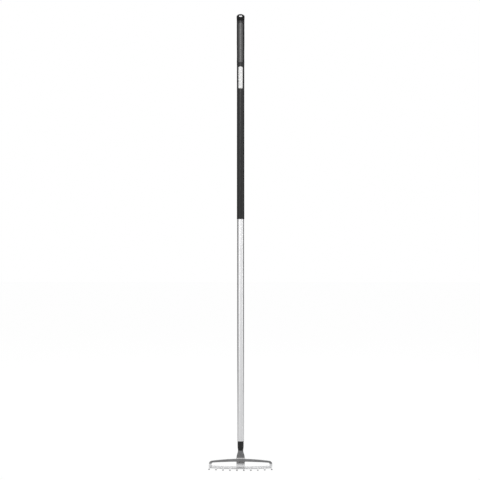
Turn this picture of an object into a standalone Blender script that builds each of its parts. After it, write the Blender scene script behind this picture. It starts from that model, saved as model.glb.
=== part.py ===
"""A shrub rake: an aluminium shaft with a black sleeve and grip, and a narrow welded steel head.

Heights run up the shaft from the underside of the tine bar, at its middle. X runs across the head,
the tines point to -Y, and the middle of the hang hole is the origin. All sizes are in metres.
"""

import math

import bmesh
import bpy
from mathutils import Vector

# Clearance between two pieces that touch
GAP = 0.0003

# Shaft tube and the sleeve over it
TUBE_DIAMETER = 0.025
TUBE_WALL = 0.001
TUBE_LENGTH = 1.5255
TUBE_END_CHAMFER = 0.0005
TUBE_CHAMFER_LENGTH = 0.001
SLEEVE_WALL = 0.0008
SLEEVE_LENGTH = 0.5512

# White inlay at the top of the sleeve, seen from the front
INLAY_WIDTH = 0.015
INLAY_LENGTH = 0.0769
INLAY_PEAK = 0.0022

# Grip shell: how far below its top each wall thickness is reached
GRIP_LENGTH = 0.1683
GRIP_TOP_WALL = 0.00135
GRIP_FULL_LENGTH = 0.072
GRIP_WAIST_WALL = 0.0009
GRIP_WAIST_DROP = 0.128
GRIP_HEEL_WALL = 0.00115
GRIP_HEEL_DROP = 0.149

# Pad in the front of the grip
PAD_WIDTH = 0.017
PAD_LENGTH = 0.1445
PAD_TOP_DROP = 0.0072
PAD_PROUD = 0.0002
PAD_HEEL_ROUND = 0.003

# End cap with the hang hole
CAP_HEIGHT = 0.0249
CAP_BULGE = 0.0006
CAP_NECK_HEIGHT = 0.001
CAP_BULGE_HEIGHT = 0.0156
CAP_SPIGOT_LENGTH = 0.030
CAP_SPIGOT_WALL = 0.003
CAP_FLOOR = 0.004
HOLE_WIDTH = 0.0115
HOLE_HEIGHT = 0.0074
HOLE_CORNER = 0.003
HOLE_DIP = 0.0008
HOLE_ARCH = 0.0036
LOOP_THICKNESS = 0.013
SCOOP_RADIUS = 0.014

# Bushing between the tube and the neck's stem
BUSHING_WALL = 0.0029
BUSHING_LIP = 0.0013
BUSHING_EXPOSED = 0.0339
BUSHING_TAPER = 0.012
BUSHING_INSERT = 0.090

# Neck: a round stem, a flare and a flat blade
STEM_WALL = 0.0015
STEM_SHORT_OF_BUSHING = 0.006
FLARE_LENGTH = 0.026
BLADE_WIDTH = 0.030
BLADE_THICKNESS = 0.0036
BLADE_LENGTH = 0.0228
BLADE_FOOT_ANGLE = math.radians(52)

# Sheet of the bow and the tine bar, and the bend that turns it forwards
SHEET = 0.0032
BEND_RADIUS = 0.012
BAR_TOP_ANGLE = math.radians(42)
LIP_LENGTH = 0.007
COMB_ARC_RADIUS = 1.75

# Bow, as heights in the flat sheet
BOW_CROWN = 0.0338
BOW_ARC_RADIUS = 0.78
BOW_DEPTH = 0.0103
BOW_UNDER_RADIUS = 1.50
LEG_WIDTH = 0.0096
BOW_OUTER_CORNER = 0.012
BOW_INNER_CORNER = 0.005

# Tines
TINE_COUNT = 10
TINE_PITCH = 0.025
TINE_WIDTH = 0.005
TINE_LENGTH = 0.040
TINE_NOTCH = 0.006
TINE_EDGE = 0.0004

# Welds
BOW_BEAD = 0.0028
BOW_BEAD_LEG = 0.0036
BOW_BEAD_OVERRUN = 0.0013
SEAM_BEAD_HALF = 0.0018
SEAM_BEAD_PROUD = 0.0012
FOOT_BEAD = 0.0024
FOOT_BEAD_INSET = 0.001

# Rivet at the back of the shaft
RIVET_SHANK = 0.004
RIVET_HEAD = 0.008
RIVET_HEAD_RISE = 0.0014
RIVET_BULB = 0.0056
RIVET_BULB_LENGTH = 0.0017
RIVET_ABOVE_TUBE_END = 0.029

# Facets
ROUND_STEPS = 48
RIVET_STEPS = 20
RIVET_DOME_STEPS = 3
FLARE_STEPS = 6
BEND_STEPS = 6
CORNER_STEPS = 6
CROWN_STEPS = 8
CAP_STEPS = 4
CUT_REACH = 0.02

# Radii that follow from the fits
tube_outer = TUBE_DIAMETER / 2
tube_bore = tube_outer - TUBE_WALL
insert_outer = tube_bore - GAP
bushing_bore = insert_outer - BUSHING_WALL
stem_outer = bushing_bore - GAP
stem_bore = stem_outer - STEM_WALL
neck_outer = bushing_bore + BUSHING_LIP
sleeve_bore = tube_outer + GAP
sleeve_outer = sleeve_bore + SLEEVE_WALL
grip_outer = sleeve_bore + GRIP_TOP_WALL

# Heights, from the bend of the sheet up to the top of the cap
bend_height = SHEET + BEND_RADIUS
flare_bottom = bend_height + BLADE_LENGTH
shoulder = flare_bottom + FLARE_LENGTH
bushing_bottom = shoulder + GAP
tube_bottom = bushing_bottom + BUSHING_EXPOSED
tube_top = tube_bottom + TUBE_LENGTH
bushing_top = tube_bottom + BUSHING_INSERT
stem_top = bushing_top - STEM_SHORT_OF_BUSHING
rivet_height = tube_bottom + RIVET_ABOVE_TUBE_END
grip_top = tube_top
grip_bottom = grip_top - GRIP_LENGTH
sleeve_top = grip_bottom - GAP
sleeve_bottom = sleeve_top - SLEEVE_LENGTH
inlay_shoulder = sleeve_top
inlay_bottom = inlay_shoulder - INLAY_LENGTH
pad_top = grip_top - PAD_TOP_DROP
pad_bottom = pad_top - PAD_LENGTH
cap_bottom = grip_top + GAP
cap_top = cap_bottom + CAP_HEIGHT
hole_top = cap_top - HOLE_ARCH
hole_middle = hole_top - HOLE_HEIGHT / 2

# The sheet's front face, the axis of its bend, and places along it from the start of the bend
front_face = -(SHEET + GAP + BLADE_THICKNESS / 2)
bend_axis = front_face - BEND_RADIUS
mid_radius = BEND_RADIUS + SHEET / 2
bend_length = mid_radius * math.pi / 2
bar_top = -mid_radius * BAR_TOP_ANGLE
bow_foot = bar_top + GAP
lip_front = -bend_length - LIP_LENGTH
blade_end = -mid_radius * BLADE_FOOT_ANGLE
blade_depth = SHEET + GAP
head_half_width = (TINE_COUNT - 1) / 2 * TINE_PITCH + TINE_WIDTH / 2
tine_places = [(index - (TINE_COUNT - 1) / 2) * TINE_PITCH for index in range(TINE_COUNT)]


def clear_scene():
    for item in list(bpy.data.objects):
        bpy.data.objects.remove(item, do_unlink=True)


def finish(name, colour, roughness, metallic):
    material = bpy.data.materials.new(name)
    material.use_nodes = True
    shader = material.node_tree.nodes["Principled BSDF"]
    shader.inputs["Base Color"].default_value = (*colour, 1.0)
    shader.inputs["Roughness"].default_value = roughness
    shader.inputs["Metallic"].default_value = metallic
    return material


def add_piece(name, mesh, material, origin):
    """Puts a mesh into the scene as one piece of the rake."""
    piece = bpy.data.objects.new(name, mesh)
    bpy.context.scene.collection.objects.link(piece)
    piece.parent = origin
    if not mesh.materials:
        mesh.materials.append(material)
    return piece


def mesh_of(name, bm, sharp_from=math.radians(35)):
    """Turns a finished bmesh into a mesh, shaded smooth but for its sharp edges."""
    bmesh.ops.recalc_face_normals(bm, faces=bm.faces[:])
    if bm.calc_volume(signed=True) < 0:
        bmesh.ops.reverse_faces(bm, faces=bm.faces[:])
    mesh = bpy.data.meshes.new(name)
    bm.to_mesh(mesh)
    bm.free()
    mesh.shade_smooth()
    mesh.set_sharp_from_angle(angle=sharp_from)
    return mesh


def turned(name, profile, steps=ROUND_STEPS):
    """A turned shape from (radius, height) points that run down its outer side.

    Where both ends lie on the axis the profile is open; elsewhere its last point joins the first.
    """
    bm = bmesh.new()
    points = [bm.verts.new((radius, 0.0, height)) for radius, height in profile]
    for start, end in zip(points, points[1:]):
        bm.edges.new((start, end))
    if profile[0][0] > 0:
        bm.edges.new((points[-1], points[0]))
    axis = (0.0, 0.0, 1.0)
    bmesh.ops.spin(
        bm, geom=bm.verts[:] + bm.edges[:], cent=(0, 0, 0), axis=axis, angle=2 * math.pi, steps=steps
    )
    bmesh.ops.remove_doubles(bm, verts=bm.verts[:], dist=1e-6)
    return mesh_of(name, bm)


def lofted(name, rings):
    """A closed shape through rings of equal length, with a flat face on its first and last ring."""
    bm = bmesh.new()
    rows = [[bm.verts.new(point) for point in ring] for ring in rings]
    for low, high in zip(rows, rows[1:]):
        for index in range(len(low)):
            after = (index + 1) % len(low)
            bm.faces.new((low[index], low[after], high[after], high[index]))
    bm.faces.new(rows[0])
    bm.faces.new(rows[-1])
    return mesh_of(name, bm)


def prism(name, outline, start, end):
    """An outline of (x, height) points, extruded from front to back."""
    return lofted(name, [[(x, y, height) for x, height in outline] for y in (start, end)])


def cut(piece, mesh, origin, operation="DIFFERENCE"):
    """Cuts a piece with a hidden cutter, or keeps only what the cutter holds."""
    cutter = bpy.data.objects.new(f"{piece.name}_cutter", mesh)
    bpy.context.scene.collection.objects.link(cutter)
    cutter.parent = origin
    cutter.hide_render = True
    cutter.display_type = "WIRE"
    boolean = piece.modifiers.new("cut", "BOOLEAN")
    boolean.operation = operation
    boolean.solver = "EXACT"
    boolean.object = cutter
    return cutter


def rounded_outline(half_width, bottom, top, bottom_round, top_round, steps=CORNER_STEPS):
    """An upright rectangle of (x, height) points with round corners, run anticlockwise."""
    corners = (
        (half_width - bottom_round, bottom + bottom_round, bottom_round, -90),
        (half_width - top_round, top - top_round, top_round, 0),
        (top_round - half_width, top - top_round, top_round, 90),
        (bottom_round - half_width, bottom + bottom_round, bottom_round, 180),
    )
    outline = []
    for x, height, radius, first in corners:
        for step in range(steps + 1):
            angle = math.radians(first + 90 * step / steps)
            point = (x + radius * math.cos(angle), height + radius * math.sin(angle))
            if not outline or math.dist(point, outline[-1]) > 1e-6:
                outline.append(point)
    if math.dist(outline[0], outline[-1]) < 1e-6:
        outline.pop()
    return outline


def inlay_outline(grow=0.0):
    """The inlay from the front: a rectangle whose top edge rises to a low peak."""
    half = INLAY_WIDTH / 2 + grow
    bottom = inlay_bottom - grow
    side = inlay_shoulder + grow
    return [(-half, bottom), (half, bottom), (half, side), (0.0, side + INLAY_PEAK), (-half, side)]


def pad_outline(grow=0.0):
    """The pad from the front: a strip with a half round top and softly rounded bottom corners."""
    half = PAD_WIDTH / 2 + grow
    return rounded_outline(half, pad_bottom - grow, pad_top + grow, PAD_HEEL_ROUND + grow, half)


def grip_profile(proud=0.0):
    """The grip shell's outer side, from its top down, as (radius, height) points."""
    return [
        (sleeve_bore + GRIP_TOP_WALL + proud, grip_top),
        (sleeve_bore + GRIP_TOP_WALL + proud, grip_top - GRIP_FULL_LENGTH),
        (sleeve_bore + GRIP_WAIST_WALL + proud, grip_top - GRIP_WAIST_DROP),
        (sleeve_bore + GRIP_HEEL_WALL + proud, grip_top - GRIP_HEEL_DROP),
        (sleeve_outer + proud, grip_bottom),
    ]


def make_shaft(origin, aluminium, black, white, plastic, soft):
    profile = [
        (tube_outer, tube_top),
        (tube_outer, tube_bottom + TUBE_CHAMFER_LENGTH),
        (tube_outer - TUBE_END_CHAMFER, tube_bottom),
        (tube_bore, tube_bottom),
        (tube_bore, tube_top),
    ]
    tube = add_piece("shaft_tube", turned("shaft_tube", profile), aluminium, origin)
    cut(tube, rivet_hole(), origin)

    profile = [
        (sleeve_outer, sleeve_top),
        (sleeve_outer, sleeve_bottom),
        (sleeve_bore, sleeve_bottom),
        (sleeve_bore, sleeve_top),
    ]
    sleeve = add_piece("shaft_sleeve", turned("shaft_sleeve", profile), black, origin)
    front = -tube_outer - CUT_REACH
    cut(sleeve, prism("inlay_seat", inlay_outline(GAP), front, 0.0), origin)

    profile = [
        (sleeve_outer, grip_top),
        (sleeve_outer, inlay_bottom - CUT_REACH),
        (sleeve_bore, inlay_bottom - CUT_REACH),
        (sleeve_bore, grip_top),
    ]
    inlay = add_piece("sleeve_inlay", turned("sleeve_inlay", profile), white, origin)
    cut(inlay, prism("inlay_edge", inlay_outline(), front, 0.0), origin, "INTERSECT")

    bore = [(sleeve_bore, grip_bottom), (sleeve_bore, grip_top)]
    core = add_piece("grip_core", turned("grip_core", grip_profile() + bore), plastic, origin)
    cut(core, prism("pad_seat", pad_outline(GAP), front, 0.0), origin)
    cut(core, prism("peak_seat", inlay_outline(GAP), front, 0.0), origin)

    pad_profile = grip_profile(PAD_PROUD) + bore
    pad = add_piece("grip_pad", turned("grip_pad", pad_profile), soft, origin)
    cut(pad, prism("pad_edge", pad_outline(), front, 0.0), origin, "INTERSECT")


def make_end_cap(origin, plastic):
    """A domed cap on the tube's top end, scooped front and back into a loop with a hang hole."""
    bulge = grip_outer + CAP_BULGE
    bulge_height = cap_bottom + CAP_BULGE_HEIGHT
    dome = cap_top - bulge_height
    profile = []
    for step in range(CROWN_STEPS + 1):
        angle = math.radians(90 - 90 * step / CROWN_STEPS)
        profile.append((bulge * math.cos(angle) if step else 0.0, bulge_height + dome * math.sin(angle)))
    spigot_bottom = cap_bottom - CAP_SPIGOT_LENGTH
    for step in range(1, CAP_STEPS + 1):
        share = step / CAP_STEPS
        radius = grip_outer + CAP_BULGE * (1 + math.cos(math.pi * share)) / 2
        profile.append((radius, bulge_height - (CAP_BULGE_HEIGHT - CAP_NECK_HEIGHT) * share))
    profile += [
        (grip_outer, cap_bottom),
        (insert_outer, cap_bottom),
        (insert_outer, spigot_bottom),
        (insert_outer - CAP_SPIGOT_WALL, spigot_bottom),
        (insert_outer - CAP_SPIGOT_WALL, cap_bottom - CAP_FLOOR),
        (0.0, cap_bottom - CAP_FLOOR),
    ]
    cap = add_piece("end_cap", turned("end_cap", profile), plastic, origin)
    reach = bulge + CUT_REACH
    for side in (-1, 1):
        ring = []
        for step in range(ROUND_STEPS):
            angle = 2 * math.pi * step / ROUND_STEPS
            y = side * (LOOP_THICKNESS / 2 + SCOOP_RADIUS) + SCOOP_RADIUS * math.cos(angle)
            ring.append((y, hole_middle + HOLE_HEIGHT / 2 + SCOOP_RADIUS * math.sin(angle)))
        rings = [[(x, y, height) for y, height in ring] for x in (-reach, reach)]
        cut(cap, lofted("cap_scoop", rings), origin)
    cut(cap, prism("hang_hole", hole_outline(), -reach, reach), origin)


def hole_outline():
    """The hang hole from the front: round corners, and a top edge that dips in the middle."""
    bottom = hole_middle - HOLE_HEIGHT / 2
    outline = rounded_outline(HOLE_WIDTH / 2, bottom, hole_top, HOLE_CORNER, HOLE_CORNER)
    upper_right = [index for index, (x, height) in enumerate(outline) if x > 0 and height > hole_middle]
    outline.insert(upper_right[-1] + 1, (0.0, hole_top - HOLE_DIP))
    return outline


def make_bushing(origin, black):
    profile = [
        (insert_outer, bushing_top),
        (insert_outer, bushing_bottom + BUSHING_TAPER),
        (neck_outer, bushing_bottom),
        (bushing_bore, bushing_bottom),
        (bushing_bore, bushing_top),
    ]
    bushing = add_piece("socket_bushing", turned("socket_bushing", profile), black, origin)
    cut(bushing, rivet_hole(), origin)


def rivet_hole():
    """The hole that the rivet's shank passes through, from the neck's bore out past the tube."""
    radius = RIVET_SHANK / 2 + GAP
    ring = []
    for step in range(RIVET_STEPS):
        angle = 2 * math.pi * step / RIVET_STEPS
        ring.append((radius * math.cos(angle), rivet_height + radius * math.sin(angle)))
    return prism("rivet_hole", ring, 0.0, tube_outer + CUT_REACH)


def make_rivet(origin, steel):
    """A blind rivet: its domed head outside the tube, its set bulb inside the neck's stem."""
    seat = tube_outer + GAP
    bulb_top = math.sqrt(stem_bore**2 - (RIVET_BULB / 2) ** 2) - GAP
    shank = RIVET_SHANK / 2
    profile = []
    for step in range(RIVET_DOME_STEPS + 1):
        angle = math.pi / 2 * step / RIVET_DOME_STEPS
        radius = RIVET_HEAD / 2 * math.sin(angle)
        profile.append((radius, seat + RIVET_HEAD_RISE * math.cos(angle)))
    profile += [
        (shank, seat),
        (shank, bulb_top),
        (RIVET_BULB / 2, bulb_top),
        (RIVET_BULB / 2, bulb_top - RIVET_BULB_LENGTH),
        (0.0, bulb_top - RIVET_BULB_LENGTH),
    ]
    rivet = add_piece("shaft_rivet", turned("shaft_rivet", profile, RIVET_STEPS), steel, origin)
    rivet.location = (0.0, 0.0, rivet_height)
    rivet.rotation_euler = (-math.pi / 2, 0.0, 0.0)


def comb_rise(x):
    """How far the head's shallow arc lifts the sheet at a place across it."""
    return COMB_ARC_RADIUS - math.sqrt(COMB_ARC_RADIUS**2 - x**2)


def pressed(x, along, depth):
    """Where a point of the flat sheet lies once the sheet is bent forwards.

    along is 0 where the bend starts, positive up the flat part, and negative round the bend and
    out along the lip. depth runs into the sheet from its front face.
    """
    lift = comb_rise(x)
    if along >= 0:
        return Vector((x, front_face + depth, bend_height + along + lift))
    if along > -bend_length:
        angle = -along / mid_radius
        radius = BEND_RADIUS + depth
        height = bend_height - radius * math.sin(angle)
        return Vector((x, bend_axis + radius * math.cos(angle), height + lift))
    return Vector((x, bend_axis + along + bend_length, SHEET - depth + lift))


def in_sheet(x, height):
    """A height on the flat bow, as a place along the sheet."""
    return x, height - bend_height - comb_rise(x)


def pressed_sheet(name, faces):
    """A piece of sheet from flat (x, along) faces, given its thickness and bent."""
    bm = bmesh.new()
    corners = {}
    for face in faces:
        for point in face:
            key = (round(point[0], 7), round(point[1], 7))
            if key not in corners:
                corners[key] = bm.verts.new((*point, 0.0))
        bm.faces.new([corners[(round(x, 7), round(along, 7))] for x, along in face])
    grown = bmesh.ops.extrude_face_region(bm, geom=bm.faces[:])["geom"]
    raised = [item for item in grown if isinstance(item, bmesh.types.BMVert)]
    bmesh.ops.translate(bm, verts=raised, vec=(0.0, 0.0, SHEET))
    for vert in bm.verts:
        vert.co = pressed(*vert.co)
    return mesh_of(name, bm)


def bead(name, section, start, end):
    """A weld bead across the head, from an (along, depth) section."""
    rings = []
    for x in (start, end):
        rings.append([pressed(x, along, depth) for along, depth in section])
    return lofted(name, rings)


def stadium(half_width, half_depth):
    """A round-ended section of (x, y) points; a circle where both halves are equal."""
    ring = []
    for step in range(ROUND_STEPS):
        angle = 2 * math.pi * (step + 0.5) / ROUND_STEPS
        shift = math.copysign(half_width - half_depth, math.cos(angle))
        ring.append((shift + half_depth * math.cos(angle), half_depth * math.sin(angle)))
    return ring


def flare_section(share):
    """Half width and half depth of the neck, from its round shoulder at 0 to its blade at 1."""
    eased = share * share * (3 - 2 * share)
    width = neck_outer + (BLADE_WIDTH / 2 - neck_outer) * eased
    depth = neck_outer + (BLADE_THICKNESS / 2 - neck_outer) * eased
    return width, depth


def make_neck(origin, steel):
    """A steel tube: a stem inside the bushing, a flare, and a flat blade that bends with the sheet."""

    def level(section, height):
        return [Vector((x, y, height)) for x, y in section]

    flare = []
    for step in range(FLARE_STEPS + 1):
        share = step / FLARE_STEPS
        flare.append((*flare_section(share), shoulder - FLARE_LENGTH * share))
    bored = [row for row in flare if row[1] > 2 * STEM_WALL]
    rings = []
    for width, depth, height in reversed(bored[1:]):
        rings.append(level(stadium(width - STEM_WALL, depth - STEM_WALL), height))
    rings.append(level(stadium(stem_bore, stem_bore), shoulder))
    rings.append(level(stadium(stem_bore, stem_bore), stem_top))
    rings.append(level(stadium(stem_outer, stem_outer), stem_top))
    rings.append(level(stadium(stem_outer, stem_outer), shoulder))
    for width, depth, height in flare:
        rings.append(level(stadium(width, depth), height))
    blade = stadium(BLADE_WIDTH / 2, BLADE_THICKNESS / 2)
    for step in range(BEND_STEPS + 1):
        along = blade_end * step / BEND_STEPS
        rings.append([pressed(x, along, blade_depth + BLADE_THICKNESS / 2 + y) for x, y in blade])
    neck = add_piece("neck", lofted("neck", rings), steel, origin)
    cut(neck, rivet_hole(), origin)


def arch(half_width, crown, arc_radius, corner_radius):
    """One edge of the bow, right foot to left foot: leg, round corner, long arc, and back down."""
    centre = crown - arc_radius
    corner_x = half_width - corner_radius
    corner_height = centre + math.sqrt((arc_radius - corner_radius) ** 2 - corner_x**2)
    meeting = math.atan2(corner_height - centre, corner_x)
    corner_foot = in_sheet(half_width, corner_height)[1]
    side = []
    for step in range(BEND_STEPS):
        side.append((half_width, bow_foot + (corner_foot - bow_foot) * step / BEND_STEPS))
    for step in range(CORNER_STEPS):
        angle = meeting * step / CORNER_STEPS
        x = corner_x + corner_radius * math.cos(angle)
        side.append(in_sheet(x, corner_height + corner_radius * math.sin(angle)))
    for step in range(CROWN_STEPS):
        angle = meeting + (math.pi / 2 - meeting) * step / CROWN_STEPS
        side.append(in_sheet(arc_radius * math.cos(angle), centre + arc_radius * math.sin(angle)))
    middle = [in_sheet(0.0, crown)]
    return side + middle + [(-x, along) for x, along in reversed(side)]


def make_bow(origin, steel):
    outer = arch(head_half_width, BOW_CROWN, BOW_ARC_RADIUS, BOW_OUTER_CORNER)
    under_crown = BOW_CROWN - BOW_DEPTH
    inner = arch(head_half_width - LEG_WIDTH, under_crown, BOW_UNDER_RADIUS, BOW_INNER_CORNER)
    stations = list(zip(outer, inner))
    faces = [(*first, *reversed(second)) for first, second in zip(stations, stations[1:])]
    add_piece("bow", pressed_sheet("bow", faces), steel, origin)


def make_tine_bar(origin, steel):
    """The curved strip with a notch in its lip for each tine."""
    notch_half = TINE_WIDTH / 2 + GAP
    notches = [(place - notch_half, place + notch_half) for place in tine_places]
    edges = {-head_half_width, head_half_width}
    for left, right in notches:
        edges |= {x for x in (left, right) if abs(x) < head_half_width}
    for left, right in zip(tine_places, tine_places[1:]):
        edges.add((left + right) / 2)
    columns = sorted(edges)
    rows = [bar_top + (-bend_length - bar_top) * step / BEND_STEPS for step in range(BEND_STEPS + 1)]
    rows += [lip_front + TINE_NOTCH, lip_front]
    faces = []
    for left, right in zip(columns, columns[1:]):
        middle = (left + right) / 2
        notched = any(start < middle < end for start, end in notches)
        for upper, lower in zip(rows, rows[1:]):
            if notched and lower == lip_front:
                continue
            faces.append(((left, upper), (right, upper), (right, lower), (left, lower)))
    add_piece("tine_bar", pressed_sheet("tine_bar", faces), steel, origin)


def make_tines(origin, steel):
    """Ten straight flat tines, their tails let into the notches, flush with the lip."""
    tail = pressed(0.0, lip_front + TINE_NOTCH - GAP, 0.0).y
    half = TINE_WIDTH / 2
    section = [(-half, 0.0), (half, 0.0), (half, SHEET), (-half, SHEET)]
    mesh = lofted("tine", [[(x, y, height) for x, height in section] for y in (0.0, -TINE_LENGTH)])
    for number, place in enumerate(tine_places, 1):
        tine = add_piece(f"tine_{number:02d}", mesh, steel, origin)
        tine.location = (place, tail, comb_rise(place))
        bevel = tine.modifiers.new("edges", "BEVEL")
        bevel.width = TINE_EDGE
        bevel.segments = 1


def make_welds(origin, steel):
    """The beads that join the neck to the bow and the bar, and the bow's feet to the bar."""
    top = in_sheet(0.0, BOW_CROWN)[1] + GAP
    half = BLADE_WIDTH / 2 + BOW_BEAD_OVERRUN
    under_drop = BOW_UNDER_RADIUS - math.sqrt(BOW_UNDER_RADIUS**2 - half**2)
    under = in_sheet(0.0, BOW_CROWN - BOW_DEPTH - under_drop)[1] - GAP
    for name, edge, way in (("upper", top, 1), ("lower", under, -1)):
        section = [(edge, SHEET), (edge, SHEET - BOW_BEAD), (edge + way * BOW_BEAD_LEG, SHEET)]
        add_piece(f"bow_weld_{name}", bead("bow_weld", section, -half, half), steel, origin)

    back = SHEET + GAP
    seam = (bar_top + bow_foot) / 2
    section = [(seam - SEAM_BEAD_HALF, back), (seam + SEAM_BEAD_HALF, back), (seam, back + SEAM_BEAD_PROUD)]
    inner, outer = head_half_width - LEG_WIDTH, head_half_width
    for name, start, end in (("left", -outer, -inner), ("right", inner, outer)):
        add_piece(f"bar_end_weld_{name}", bead("bar_end_weld", section, start, end), steel, origin)

    start = blade_end - GAP
    section = [(start, back), (start, back + FOOT_BEAD), (start - FOOT_BEAD, back)]
    half = BLADE_WIDTH / 2 - BLADE_THICKNESS / 2 - FOOT_BEAD_INSET
    add_piece("neck_foot_weld", bead("neck_foot_weld", section, -half, half), steel, origin)


def build():
    clear_scene()
    origin = bpy.data.objects.new("hang_hole_origin", None)
    bpy.context.scene.collection.objects.link(origin)
    origin.location = (0.0, 0.0, -hole_middle)
    aluminium = finish("satin_aluminium", (0.82, 0.82, 0.83), 0.30, 1.0)
    sleeve_black = finish("sleeve_black", (0.012, 0.012, 0.013), 0.38, 0.0)
    grip_black = finish("grip_black", (0.010, 0.010, 0.011), 0.38, 0.0)
    pad_black = finish("pad_black", (0.050, 0.049, 0.050), 0.55, 0.0)
    white = finish("inlay_white", (0.86, 0.86, 0.86), 0.35, 0.0)
    steel = finish("head_steel", (0.28, 0.28, 0.285), 0.42, 1.0)
    bead_steel = finish("weld_steel", (0.45, 0.45, 0.455), 0.38, 1.0)
    rivet_steel = finish("rivet_steel", (0.60, 0.60, 0.61), 0.35, 1.0)
    make_shaft(origin, aluminium, sleeve_black, white, grip_black, pad_black)
    make_end_cap(origin, grip_black)
    make_bushing(origin, sleeve_black)
    make_neck(origin, steel)
    make_rivet(origin, rivet_steel)
    make_bow(origin, steel)
    make_tine_bar(origin, steel)
    make_tines(origin, steel)
    make_welds(origin, bead_steel)


build()
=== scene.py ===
"""The looks of a shrub rake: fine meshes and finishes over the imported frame, a studio and a camera.

Metres throughout. +Z runs up the shaft, X across the head, and the tines point to -Y. Heights of
the head are counted from the underside of the tine bar, at its middle.
"""

import math

import bpy
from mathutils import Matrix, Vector


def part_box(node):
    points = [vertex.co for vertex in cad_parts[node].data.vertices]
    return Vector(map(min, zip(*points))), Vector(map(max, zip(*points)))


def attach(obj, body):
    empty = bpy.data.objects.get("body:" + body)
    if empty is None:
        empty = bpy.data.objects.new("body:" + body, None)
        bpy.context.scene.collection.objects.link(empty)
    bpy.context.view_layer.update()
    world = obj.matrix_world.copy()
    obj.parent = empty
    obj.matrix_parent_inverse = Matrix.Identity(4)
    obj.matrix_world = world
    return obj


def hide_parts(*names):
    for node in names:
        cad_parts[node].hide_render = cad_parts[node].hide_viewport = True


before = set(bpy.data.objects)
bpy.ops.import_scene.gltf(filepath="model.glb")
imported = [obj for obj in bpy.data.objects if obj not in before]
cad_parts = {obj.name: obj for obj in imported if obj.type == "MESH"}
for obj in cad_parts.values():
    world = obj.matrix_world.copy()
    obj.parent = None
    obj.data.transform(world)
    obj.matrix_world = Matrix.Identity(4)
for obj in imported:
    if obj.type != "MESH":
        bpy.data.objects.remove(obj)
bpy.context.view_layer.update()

# Clearance between neighbours, and the roundness of the plastic and metal edges
GAP = 0.0003
MOULDED_EDGE = 0.0003
TUBE_EDGE = 0.0004

# Grip shell and pad. The drops are counted down from the grip's top.
GRIP_FULL_LENGTH = 0.072
GRIP_WAIST_WALL = 0.0009
GRIP_WAIST_DROP = 0.128
GRIP_HEEL_WALL = 0.00115
GRIP_HEEL_DROP = 0.149
PAD_THICKNESS = 0.0008
PAD_CROWN = 0.00025
PAD_HEEL = 0.003
PAD_END_SHARE = 0.12  # of half the rows of its grid, for each round end

# Sleeve and inlay
INLAY_PEAK = 0.0022
INLAY_THICKNESS = 0.0007
SLEEVE_WALL = 0.0008

# End cap
CAP_BULGE = 0.0006
CAP_NECK_HEIGHT = 0.001
CAP_BULGE_HEIGHT = 0.0156
CAP_FLOOR = 0.004
CAP_SPIGOT_LENGTH = 0.030
CAP_SPIGOT_WALL = 0.003
HOLE_WIDTH = 0.0115
HOLE_HEIGHT = 0.0074
HOLE_CORNER = 0.0030
HOLE_DIP = 0.0008
LOOP_THICKNESS = 0.013
SCOOP_RADIUS = 0.014
CAP_VOXEL = 0.00032

# Bushing
BUSHING_TAPER = 0.012
BUSHING_TAPER_ROUND = 0.004

# Neck: a stem inside the bushing, a flare and a blade
NECK_SHOULDER_RADIUS = 0.0096
STEM_RADIUS = 0.008
STEM_WALL = 0.0015
FLARE_LENGTH = 0.026
BLADE_THICKNESS = 0.0036
BLADE_FOOT_ANGLE = math.radians(52)
BLADE_HOLLOW = 0.0004
BLADE_HOLLOW_REACH = 0.7
BLADE_SLIT = 0.0006

# Sheet of the bow and the tine bar
SHEET = 0.0032
SHEET_EDGE = 0.0005
BEND_RADIUS = 0.012
BAR_TOP_ANGLE = math.radians(42)
LIP_LENGTH = 0.007
COMB_ARC_RADIUS = 1.75

# Bow, as heights in the flat sheet
BOW_CROWN = 0.0338
BOW_ARC_RADIUS = 0.78
BOW_DEPTH = 0.0103
BOW_UNDER_RADIUS = 1.50
LEG_WIDTH = 0.0096
BOW_OUTER_CORNER = 0.012
BOW_INNER_CORNER = 0.005

# Tines
TINE_COUNT = 10
TINE_NOTCH = 0.006
TINE_EDGE = 0.0005
ROOT_FILLET = 0.0026

# Weld beads
BOW_BEAD = 0.0028
BOW_BEAD_LEG = 0.0036
BOW_BEAD_OVERRUN = 0.0013
SEAM_BEAD_HALF = 0.0018
SEAM_BEAD_PROUD = 0.0012
FOOT_BEAD = 0.0024
FOOT_BEAD_INSET = 0.001
TAIL_BEAD_HALF = 0.0013
TAIL_BEAD_PROUD = 0.0005
TAIL_BEAD_CORNER = 0.0015
BEAD_RIPPLE = 0.0015
BEAD_RIPPLE_DEPTH = 0.09
BEAD_RIPPLE_LAG = 0.35
BEAD_RIPPLE_STEPS = 6
BEAD_LEAST_STEPS = 12
BEAD_TAPER = 1.6 * BEAD_RIPPLE
BEAD_TIP = 0.02  # the square of a bead's size at its very ends, as a share
BEAD_BULGE = 0.22

# Rivet
RIVET_SHANK = 0.004
RIVET_HEAD = 0.008
RIVET_HEAD_RISE = 0.0014
RIVET_BULB = 0.0056
RIVET_PIN_HOLE = 0.0022
RIVET_PIN_HOLE_DEPTH = 0.0007
RIVET_RIM = 0.08  # radians of the dome, from the pin's hole to its first ring

# Facets
TURNED_SIDES = 160
CUTTER_SIDES = 96
NECK_SIDES = 96
RIVET_SIDES = 48
EDGE_STEPS = 4
SHARP_ANGLE = 50
END_CORNERS = 8  # a face with more corners closes an end
QUARTER = math.pi / 2

# Heights between which the steel goes from its own tone to a painted highlight, full low down, and
# the highlight's colour
PAINTED_HIGHLIGHT_HEIGHTS = (0.019, 0.012)
PAINTED_HIGHLIGHT_COLOUR = (0.58, 0.58, 0.585)

# Painted shade on the tines' cut ends: how far it reaches back where it fades, and how ragged its
# edge is
TIP_SHADE_REACH = (0.0005, 0.0012)
TIP_SHADE_RAGGED = 0.0012

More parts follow.
